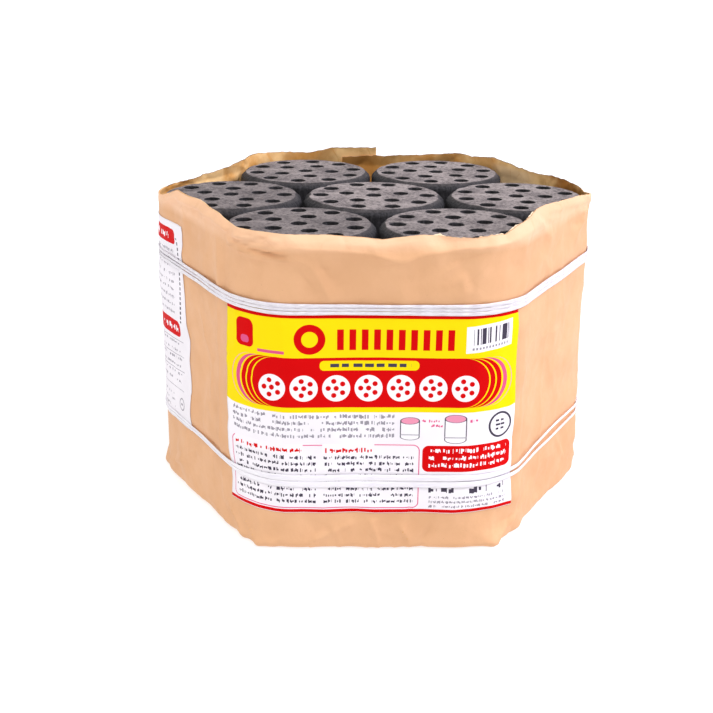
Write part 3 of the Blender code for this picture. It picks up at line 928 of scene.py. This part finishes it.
class Surface:
    """A Principled material under construction."""

    def __init__(self, name, roughness, specular=0.5):
        self.material = bpy.data.materials.new(name)
        self.material.use_nodes = True
        self.tree = self.material.node_tree
        self.shader = self.tree.nodes["Principled BSDF"]
        self.shader.inputs["Roughness"].default_value = roughness
        self.shader.inputs["Specular IOR Level"].default_value = specular
        coordinates = self.tree.nodes.new("ShaderNodeTexCoord")
        self.position = Field(self.tree, coordinates.outputs["Object"])

    def mapped(self):
        """The two coordinates of the surface_mm map."""
        place_on_map = self.position.node("ShaderNodeUVMap", "UV", {}, uv_map="surface_mm")
        return place_on_map.axis("X"), place_on_map.axis("Y")

    def facing(self, low, high):
        """1 where the surface faces up or down, and 0 where it is steep."""
        normal = self.position.node("ShaderNodeNewGeometry", "Normal", {})
        return normal.axis("Z").maths("ABSOLUTE").ramp(low, high)

    def object_colour(self):
        """The object's own colour. It is a grey, so it also serves as a number."""
        return self.position.node("ShaderNodeObjectInfo", "Color", {})

    def set(self, name, field):
        self.tree.links.new(field.socket, self.shader.inputs[name])

    def bump(self, height, distance, strength):
        """Adds relief of that height field times distance, in metres."""
        inputs = {"Height": height, "Distance": distance, "Strength": strength}
        self.set("Normal", height.node("ShaderNodeBump", "Normal", inputs))


# Paper colours, each a light and a dark one. The inside's are paler and more orange, a painted glow of light
# through the paper. Then the brown stains inside, which also paint the shade under the lap; a painted shade and
# a painted highlight inside at the back; and the torn edge's darker colour, which also paints the shadow under
# the torn ply.
KRAFT = ((0.782, 0.446, 0.244), (0.690, 0.375, 0.193))
KRAFT_INSIDE_PAINTED_GLOW = ((1.000, 0.640, 0.280), (0.760, 0.360, 0.090))
KRAFT_EDGE = ((0.860, 0.560, 0.330), (0.640, 0.360, 0.170))
KRAFT_FIBRES = ((0.920, 0.680, 0.450), (0.700, 0.430, 0.230))
BROWN_STAIN_AND_LAP_SHADE = (0.480, 0.190, 0.030)
PAINTED_SHADE_BROWN = (0.420, 0.160, 0.030)
PAINTED_HIGHLIGHT_PALE = (1.000, 0.680, 0.370)
DARK_EDGE_AND_PLY_SHADOW = (0.160, 0.070, 0.022)


def kraft_material(name, light, dark, roughness, contrast=1.0, part="outside"):
    """Brown wrapping paper: fibres, mottling, specks and faint dark fold lines, partly wear and partly painted
    crease shade. part says which part of the sheet it is: the outside has a painted highlight at the top, the
    inside has stains, painted shade and a painted highlight at the back, and the torn edge is darker away
    from the front and has a painted shadow under the torn ply."""
    surface = Surface(name, roughness, 0.22)
    position = surface.position
    mottled = position.noise(9.0, 4.0, 0.6)
    fibres = position.scaled(1.0, 1.0, 0.16).noise(900.0, 3.0, 0.6)
    blotches = position.noise(55.0, 3.0, 0.55)
    shade = mottled * 0.70 + blotches * 0.24 + fibres * 0.04
    colour = shade.ramp(0.49 - 0.15 / contrast, 0.49 + 0.15 / contrast).mixed(light, dark)
    specks = position.cells(420.0).below(0.10) * position.noise(120.0, 2.0).above(0.60)
    colour = (specks * 0.5).mixed(colour, tuple(0.55 * c for c in dark))
    # Thin darker fold lines at random: partly wear and partly painted crease shade.
    fold_wear_and_shade = position.cells(31.0, "DISTANCE_TO_EDGE").below(0.018) * position.noise(40.0, 2.0).ramp(0.45, 0.60)
    along, height = surface.mapped()  # in mm: the place counted as the torn rim's is, and the height
    if part == "outside":
        # Painted highlight: the outside is paler over its top few mm, where the shoulder and lip face the light.
        painted_top_highlight = height.ramp(243.0, 250.0) * mottled.ramp(0.35, 0.60, 0.35, 0.75)
        colour = painted_top_highlight.mixed(colour, tuple(min(1.0, 1.04 * c + 0.13) for c in light))
        colour = (fold_wear_and_shade * 0.16).mixed(colour, dark)
    elif part == "inside":
        stains = position.noise(20.0, 3.0, 0.6).ramp(0.50, 0.62) * 0.55
        # Painted shade: the inside of the inner end, under the lapped outer end, is darker brown; random stains
        # share that colour.
        lapped = along.ramp(1650.0, 1674.0) * 0.85
        colour = stains.maths("MAXIMUM", lapped).mixed(colour, BROWN_STAIN_AND_LAP_SHADE)
        # Painted highlight: a pale patch just below the rim inside at the back right.
        painted_highlight_patch = along.band(1474.0, 1494.0, 1532.0, 1554.0) * height.ramp(256.0, 252.0)
        colour = painted_highlight_patch.mixed(colour, PAINTED_HIGHLIGHT_PALE)
        # Painted shade: a blotchy dark brown band inside at the back right.
        painted_shade_patch = along.band(1398.0, 1420.0, 1462.0, 1474.0) * blotches.ramp(0.40, 0.55)
        colour = (painted_shade_patch * 0.8).mixed(colour, PAINTED_SHADE_BROWN)
        colour = (fold_wear_and_shade * 0.55).mixed(colour, dark)
    else:
        # The edge is darker in blotches away from the front; at the front right it is also darkened as a painted
        # shadow under the torn inner ply.
        front_mm = PERIMETER * 1000
        at_front = along.between(front_mm - 300, front_mm + 300)
        ply_shadow_part = along.between(front_mm + 42, front_mm + 138) * 0.55
        darker_edge_and_ply_shadow = (at_front * -1.0 + 1.0).maths("MAXIMUM", ply_shadow_part) * blotches.ramp(0.30, 0.55, 0.45, 0.95)
        colour = darker_edge_and_ply_shadow.mixed(colour, DARK_EDGE_AND_PLY_SHADOW)
    surface.set("Base Color", colour)
    surface.set("Roughness", blotches.ramp(0.3, 0.7, roughness - 0.06, roughness + 0.08))
    wrinkles = position.noise(70.0, 4.0, 0.55)
    facets = position.cells(17.0) * 1.9 + position.cells(43.0) * 0.8
    surface.bump(fibres * 0.006 + wrinkles * 0.8 + position.noise(26.0, 2.0) * 1.8 + facets, 0.0014, 0.7)
    return surface.material


def charcoal_material(name, pressed, side, grit_colour):
    """Pressed coal powder: worn pale faces up and down, and darker coarse sides, hole walls and chamfer, partly
    the coal's colour and partly painted shade, with pits, grit and uneven tone. Each briquette's pale faces are
    also darkened by a painted shade, its object colour, more on the left. pressed and side are each a light and
    a dark colour."""
    surface = Surface(name, 0.80, 0.25)
    position = surface.position
    tone = position.noise(42.0, 5.0, 0.65)
    grain = position.noise(1150.0, 4.0, 0.75)
    coarse = position.noise(330.0, 3.0, 0.6)
    shade = (tone * 0.9 + grain * 0.7 + coarse * 0.6).ramp(0.92, 1.26)
    # Faces that point up or down are pale; the steep sides, hole walls and chamfer take the dark side colour,
    # partly the coal's own colour and partly painted shade.
    worn = surface.facing(0.70, 0.985) * coarse.ramp(0.30, 0.46, 0.45, 1.0)
    scraped = position.scaled(1.0, 1.0, 0.20).noise(420.0, 4.0, 0.7).ramp(0.40, 0.78)
    # Painted shade: each briquette's pressed colour is darkened towards black by its object colour.
    pressed_with_painted_shade = surface.object_colour().mixed((0.0, 0.0, 0.0), shade.mixed(pressed[1], pressed[0]))
    colour = worn.mixed(scraped.mixed(side[1], side[0]), pressed_with_painted_shade)
    grit = position.cells(700.0).below(0.17) * position.noise(260.0, 2.0).above(0.52)
    colour = (grit * worn).mixed(colour, grit_colour)
    surface.set("Base Color", colour)
    surface.set("Roughness", tone.ramp(0.3, 0.7, 0.66, 0.90))
    pits = position.cells(420.0).ramp(0.0, 0.35)
    surface.bump(grain * 0.7 + pits * 0.7 + coarse * 1.1 + position.noise(120.0, 3.0) * 1.2, 0.0011, 0.8)
    return surface.material


def twine_material(name, lines_colour):
    """Glossy white split-film twine: fine lines of another colour along the strand."""
    surface = Surface(name, 0.38, 0.25)
    along, across = surface.mapped()
    lines = surface.position.node("ShaderNodeCombineXYZ", 0, {0: along * 0.035, 1: across * 1.0, 2: 0.0})
    fine = lines.noise(3.4, 3.0, 0.6)
    broad = lines.noise(1.1, 2.0, 0.5)
    colour = fine.ramp(0.40, 0.72).mixed((0.90, 0.88, 0.91), lines_colour)
    colour = broad.ramp(0.52, 0.74).mixed(colour, (0.78, 0.73, 0.84))
    surface.set("Base Color", colour)
    surface.shader.inputs["Sheen Weight"].default_value = 0.25
    surface.bump(fine * 1.0 + broad * 0.4, 0.0004, 0.6)
    return surface.material


# The labels' printed colours.
YELLOW = (0.900, 0.700, 0.004)
RED = (0.640, 0.002, 0.003)
PALE_PINK = (0.800, 0.300, 0.430)
PINK = (0.700, 0.095, 0.240)
INK = (0.060, 0.050, 0.075)
GREY_INK = (0.300, 0.280, 0.320)
LABEL_WHITE = (0.900, 0.860, 0.900)


class Print:
    """Colours printed over one another on a label, at s and z in mm."""

    def __init__(self, name):
        self.surface = Surface(name, 0.45, 0.03)
        self.s, self.z = self.surface.mapped()
        shade = self.surface.position.noise(30.0, 3.0)
        self.colour = shade.ramp(0.35, 0.7).mixed(LABEL_WHITE, tuple(0.93 * c for c in LABEL_WHITE))

    def lay(self, colour, mask):
        self.colour = mask.mixed(self.colour, colour)

    def box(self, s0, s1, z0, z1):
        return self.s.between(s0, s1) * self.z.between(z0, z1)

    def rounded(self, s0, s1, z0, z1, radius):
        """1 inside a rounded rectangle."""
        across = ((self.s - (s0 + s1) / 2).maths("ABSOLUTE") - ((s1 - s0) / 2 - radius)).maths("MAXIMUM", 0.0)
        up = ((self.z - (z0 + z1) / 2).maths("ABSOLUTE") - ((z1 - z0) / 2 - radius)).maths("MAXIMUM", 0.0)
        return (across * across + up * up).below(radius * radius)

    def disc(self, s, z, radius, squash=1.0):
        across, up = self.s - s, (self.z - z) * squash
        return (across * across + up * up).below(radius * radius)

    def ring(self, s, z, outer, inner, squash=1.0):
        return self.disc(s, z, outer, squash) - self.disc(s, z, inner, squash)

    def random(self, x, y, seed):
        """A random number for each whole x and y."""
        vector = self.s.node("ShaderNodeCombineXYZ", 0, {0: x, 1: y, 2: float(seed)})
        return self.s.node("ShaderNodeTexWhiteNoise", "Value", {"Vector": vector})

    def lines(self, area, pitch, height, cell, seed, ink=0.62, ticks=4.0):
        """Rows of plain short upright ticks of uneven height, in groups, which stand for lines of print."""
        s0, s1, z0, z1 = area
        u, v = (self.s - s0) / cell, (self.z * -1.0 + z1) / pitch
        row, tick = v.maths("FLOOR"), (u * ticks).maths("FLOOR")
        inked = self.random(tick, row, seed).below(ink)
        top = self.random(tick, row, seed + 7).ramp(0.0, 1.0, 0.0, 0.45)
        foot = self.random(tick, row, seed + 9).ramp(0.0, 1.0, 0.60, 1.0)
        down = v.maths("FRACT") * (pitch / height)
        group = u.maths("FRACT").below(0.84) * self.random(u.maths("FLOOR"), row, seed + 50).above(0.08)
        return self.box(s0, s1, z0, z1) * inked * group * (down - top).above(0.0) * (foot - down).above(0.0)

    def bars(self, area, pitch, height, cell, seed):
        """Rows of plain rounded bars of random length, which stand for a heading."""
        s0, s1, z0, z1 = area
        u, v = (self.s - s0) / cell, (self.z * -1.0 + z1) / pitch
        long = self.random(u.maths("FLOOR"), v.maths("FLOOR"), seed).ramp(0.0, 1.0, 0.55, 0.95)
        inside = (long - u.maths("FRACT")).above(0.0) * (v.maths("FRACT") * (pitch / height)).below(1.0)
        return self.box(s0, s1, z0, z1) * inside

    def finish(self):
        """The material, once everything is laid."""
        self.surface.set("Base Color", self.colour)
        position = self.surface.position
        self.surface.bump(position.noise(45.0, 3.0) * 1.5 + position.noise(700.0, 2.0) * 0.06, 0.0007, 0.5)
        return self.surface.material


def front_label_art():
    """The front label, its marks and words all replaced by plain shapes."""
    art = Print("front_label_print")
    art.lay(YELLOW, art.rounded(-133, 118, 118, 230, 15))
    art.lay(RED, art.box(-130, 115, 193.0, 196.3))

    # The red band with rounded ends, and the bands that echo them.
    band_half, band_middle = 20.0, 142.0
    up = (art.z - band_middle) / band_half
    end_curve = (up * up * -1.0 + 1.0).maths("MAXIMUM", 0.0).maths("SQRT") * -band_half + band_half
    beyond = (art.s + 6.0).maths("ABSOLUTE") + end_curve - 91.0
    in_band = up.maths("ABSOLUTE").below(1.0)
    bands = [
        (21.5, PALE_PINK), (20.7, YELLOW), (16.5, PINK), (12.6, YELLOW), (10.9, RED), (6.6, YELLOW),
        (5.3, RED), (1.2, YELLOW), (0.0, RED),
    ]
    for reach, colour in bands:
        art.lay(colour, beyond.below(reach) * in_band)

    # Title: seven white discs with red holes.
    disc_pitch, first_disc, disc_z = 24.5, -80.5, 137.5
    column = (((art.s - first_disc) / disc_pitch).maths("ROUND")).maths("MAXIMUM", 0.0).maths("MINIMUM", 6.0)
    across, rise = art.s - first_disc - column * disc_pitch, art.z - disc_z
    away = (across * across + rise * rise).maths("SQRT")
    fifth = math.tau / 5
    turn = (rise.maths("ARCTAN2", across) / fifth).maths("FRACT") * fifth - fifth / 2
    x, y = turn.maths("COSINE") * away - 6.0, turn.maths("SINE") * away
    dots = (x * x + y * y).below(2.0 ** 2).maths("MAXIMUM", away.below(2.0))
    art.lay(LABEL_WHITE, away.below(10.6) * dots.below(0.5))

    art.lay(YELLOW, art.rounded(-44, 31, 151.8, 159.6, 3.4))
    art.lay(INK, art.bars((-36, 25, 154.4, 157.2), 2.8, 2.8, 8.7, 3))

    # Heading: upright bars, a ring and a rounded block.
    bar_pitch = 9.2
    bar = ((art.s + 31.0) / bar_pitch).maths("FRACT") * bar_pitch
    art.lay(RED, bar.below(5.0) * art.box(-31.0, 60.5, 168.0, 184.5))
    art.lay(RED, art.ring(-51.5, 176.5, 11.8, 6.2))
    art.lay(RED, art.rounded(-112.5, -95.5, 166.5, 189.0, 5.0))
    art.lay(PINK, art.rounded(-108.0, -100.0, 169.5, 175.5, 2.6))
    art.lay(PINK, art.box(-92.0, -70.5, 164.6, 167.0))

    # Tilted box of plain upright lines.
    tilted = art.z - (art.s - 85.0) * 0.09
    box_mask = art.s.between(65.5, 104.0) * tilted.between(167.5, 188.5)
    art.lay(LABEL_WHITE, box_mask)
    lines = art.random((art.s * 1.5).maths("FLOOR"), 1.0, 21).below(0.50)
    art.lay(INK, lines * art.s.between(71.0, 101.0) * tilted.between(173.5, 186.0))
    ticks = (art.s / 2.6).maths("FRACT").below(0.55)
    art.lay(GREY_INK, ticks * art.s.between(69.0, 100.0) * tilted.between(169.6, 171.4))

    # Lines of print, and two drawings of a briquette.
    art.lay(GREY_INK, art.lines((-119, 13, 96.0, 116.4), 5.3, 3.8, 4.2, 5, 0.72))
    for s, base, top in ((25.0, 98.0, 111.0), (60.0, 96.0, 113.0)):
        width = 7.6 if s < 40 else 8.6
        art.lay(INK, art.box(s - width, s + width, base, top).maths("MAXIMUM", art.disc(s, base, width, 2.6)))
        art.lay(LABEL_WHITE, art.box(s - width + 0.8, s + width - 0.8, base, top))
        art.lay(LABEL_WHITE, art.disc(s, base, width - 0.8, 2.7))
        art.lay(INK, art.ring(s, top, width, width - 0.9, 2.6))
        art.lay(PALE_PINK, art.disc(s, top, width - 0.9, 2.6))
        art.lay(GREY_INK, art.box(s - width, s + width, base + 1.2, base + 1.9))
    art.lay(PINK, art.lines((34, 50, 105.5, 112.5), 4.0, 2.8, 3.6, 9))
    art.lay(PINK, art.lines((71, 86, 109.0, 112.5), 4.0, 2.8, 3.6, 10))
    art.lay(INK, art.ring(97.0, 105.0, 10.6, 8.9))
    art.lay(INK, art.bars((92.5, 101.5, 101.0, 109.6), 3.4, 1.7, 4.6, 11))

    # The outlined box with its two columns, the red notice and the foot of the label.
    outline = art.rounded(-120, 33, 37.6, 91.4, 5.0) - art.rounded(-119.2, 32.2, 38.4, 90.6, 4.2)
    art.lay(PINK, outline)
    for left, right, seed in ((-116, -58, 12), (-41, -3, 13)):
        art.lay(LABEL_WHITE, art.box(left - 1, right + 1, 84.0, 92.0))
        art.lay(RED, art.lines((left, right, 84.4, 88.8), 4.4, 4.4, 4.8, seed, 0.74))
    art.lay(INK, art.lines((-116, -47, 40.5, 82.5), 5.3, 3.6, 3.5, 14, 0.70))
    art.lay(INK, art.lines((-41, 29, 40.5, 82.5), 5.3, 3.6, 3.5, 15, 0.70))
    art.lay(RED, art.rounded(35, 108, 69, 91, 5.0))
    art.lay(LABEL_WHITE, art.lines((40, 104, 71.8, 89.0), 6.2, 4.4, 4.9, 16, 0.74))
    art.lay(INK, art.lines((40.5, 104, 50.0, 57.0), 7.0, 7.0, 7.9, 17, 0.66))
    art.lay(GREY_INK, art.lines((41, 104, 38.0, 48.6), 4.0, 2.8, 3.2, 18, 0.70))
    art.lay(RED, art.box(-130, 115, 33.9, 36.7))
    return art.finish()


def side_label_art():
    """The side label: red headings, faint print, a cut line and a ring."""
    art = Print("side_label_print")
    art.lay(RED, art.rounded(-334, -226, 217.5, 230, 4.5))
    art.lay(LABEL_WHITE, art.lines((-328, -230, 220.6, 226.8), 6.2, 6.2, 7.0, 31, 0.66))
    art.lay(GREY_INK, art.lines((-334, -230, 157.0, 213.0), 6.6, 3.2, 3.6, 32, 0.5))
    art.lay(RED, art.rounded(-334, -222, 138, 152, 5.0))
    art.lay(LABEL_WHITE, art.lines((-328, -226, 142.0, 148.0), 6.0, 6.0, 7.0, 33, 0.66))
    art.lay(GREY_INK, art.lines((-334, -224, 92.0, 133.0), 6.8, 2.8, 3.4, 34, 0.5))
    for z in (134.5, 121.0, 107.5, 90.5):
        art.lay(GREY_INK, art.box(-334, -219, z - 0.25, z + 0.25))
    dashes = ((art.z / 4.2).maths("FRACT")).below(0.62)
    drift = (art.z - 212.0).maths("MAXIMUM", 0.0)
    cut_line = (art.s + 219.6 + drift * drift * 0.030).between(-1.1, 1.1)
    art.lay(INK, dashes * cut_line * art.z.between(152.0, 224.0))
    art.lay(GREY_INK, art.ring(-222.4, 78.4, 5.6, 4.5))
    art.lay(GREY_INK, art.box(-224.2, -220.6, 77.4, 79.4))
    art.lay(GREY_INK, art.lines((-334, -240, 66.0, 84.0), 6.0, 2.8, 3.4, 36, 0.5))
    return art.finish()


def make_stage():
    """A pale floor, which isn't part of the object."""
    half = 14.0
    points = [(-half, -half, 0.0), (half, -half, 0.0), (half, half, 0.0), (-half, half, 0.0)]
    mesh = bpy.data.meshes.new("floor")
    mesh.from_pydata(points, [], [(0, 1, 2, 3)])
    surface = Surface("floor_paper", 0.85, 0.2)
    surface.shader.inputs["Emission Color"].default_value = (1.0, 1.0, 1.0, 1.0)
    surface.shader.inputs["Emission Strength"].default_value = 0.72
    surface.set("Base Color", surface.position.noise(3.0, 2.0).mixed((0.36, 0.36, 0.36), (0.34, 0.34, 0.34)))
    mesh.materials.append(surface.material)
    add_object("floor", mesh)


def add_sun(name, towards, strength, angle, colour=(1.0, 1.0, 1.0)):
    """A broad, soft, distant light from the direction of towards. angle is how many degrees wide it looks."""
    data = bpy.data.lights.new(name, "SUN")
    data.energy = strength
    data.angle = math.radians(angle)
    data.color = colour
    light = add_object(name, data)
    light.rotation_euler = Vector(towards).to_track_quat("Z", "Y").to_euler()


def make_lights():
    """High-key studio: a pale surround, a soft key high on the right and a faint fill from the left."""
    world = bpy.data.worlds.new("pale_surround")
    world.use_nodes = True
    background = world.node_tree.nodes["Background"]
    background.inputs["Color"].default_value = (1.0, 1.0, 1.0, 1.0)
    background.inputs["Strength"].default_value = 0.48
    bpy.context.scene.world = world
    add_sun("key", (0.74, -0.06, 0.67), 2.5, 34.0, (1.0, 0.990, 1.160))
    add_sun("overhead", (-0.06, -0.34, 0.94), 1.6, 50.0)
    add_sun("fill", (-0.90, -0.30, 0.30), 0.46, 60.0)


def make_camera():
    """A camera in front of the pack, a little to its left, that looks down on it."""
    yaw, down, roll = (math.radians(a) for a in (CAMERA_YAW, CAMERA_DOWN, CAMERA_ROLL))
    forward = Vector((math.sin(yaw) * math.cos(down), math.cos(yaw) * math.cos(down), -math.sin(down)))
    level = forward.cross(Vector((0.0, 0.0, 1.0))).normalized()
    up = level.cross(forward)
    x_axis = math.cos(roll) * level + math.sin(roll) * up
    y_axis = math.cos(roll) * up - math.sin(roll) * level
    data = bpy.data.cameras.new("camera")
    data.lens = CAMERA_LENS
    data.sensor_width = 36.0
    data.clip_end = 60.0
    camera = add_object("camera", data)
    turn = Matrix((x_axis, y_axis, -forward)).transposed().to_4x4()
    camera.matrix_world = Matrix.Translation(CAMERA_AT) @ turn
    bpy.context.scene.camera = camera
    bpy.context.scene.view_settings.view_transform = "Standard"


def main():
    kraft = kraft_material("kraft_outside", *KRAFT, 0.56)
    kraft_inside = kraft_material("kraft_inside", *KRAFT_INSIDE_PAINTED_GLOW, 0.74, 3.0, "inside")
    kraft_edge = kraft_material("kraft_torn_edge", *KRAFT_EDGE, 0.80, 2.0, "edge")
    kraft_fibres = kraft_material("kraft_fibres", *KRAFT_FIBRES, 0.85, 2.0)
    charcoal = charcoal_material(
        "pressed_charcoal",
        pressed=((0.378, 0.326, 0.310), (0.136, 0.114, 0.114)),
        side=((0.062, 0.058, 0.062), (0.018, 0.017, 0.019)),
        grit_colour=(0.36, 0.33, 0.34),
    )
    compound = charcoal_material(
        "ignition_mix",
        pressed=((0.230, 0.200, 0.175), (0.100, 0.084, 0.074)),
        side=((0.110, 0.094, 0.082), (0.040, 0.034, 0.030)),
        grit_colour=(0.42, 0.36, 0.28),
    )
    twine = twine_material("twine_film", (0.46, 0.38, 0.44))
    pale_twine = twine_material("pale_twine_film", (0.80, 0.76, 0.82))

    make_wrap(kraft, kraft_inside, kraft_edge)
    make_torn_ply(kraft_fibres)
    make_bottom(kraft)
    make_label("front_label_sheet", FRONT_LABEL, front_label_art(), "front_label")
    make_label(
        "side_label_sheet", SIDE_LABEL, side_label_art(), "side_label",
        lambda z: 0.0034 * np.sin((z - 0.03) * 26.0) + 0.0008 * np.sin(z * 150.0),
    )
    make_tie("upper_twine", UPPER_TIE_Z, UPPER_STRANDS, "upper_twine", twine)
    make_tie("lower_twine", LOWER_TIE_Z, LOWER_STRANDS, "lower_twine", pale_twine)
    make_knot("upper_twine", UPPER_TIE_Z, UPPER_KNOT_S, "upper_twine_knot", twine)
    make_knot("lower_twine", LOWER_TIE_Z, LOWER_KNOT_S, "lower_twine_knot", pale_twine)
    make_briquettes(charcoal, compound)
    make_stage()
    make_lights()
    make_camera()


main()
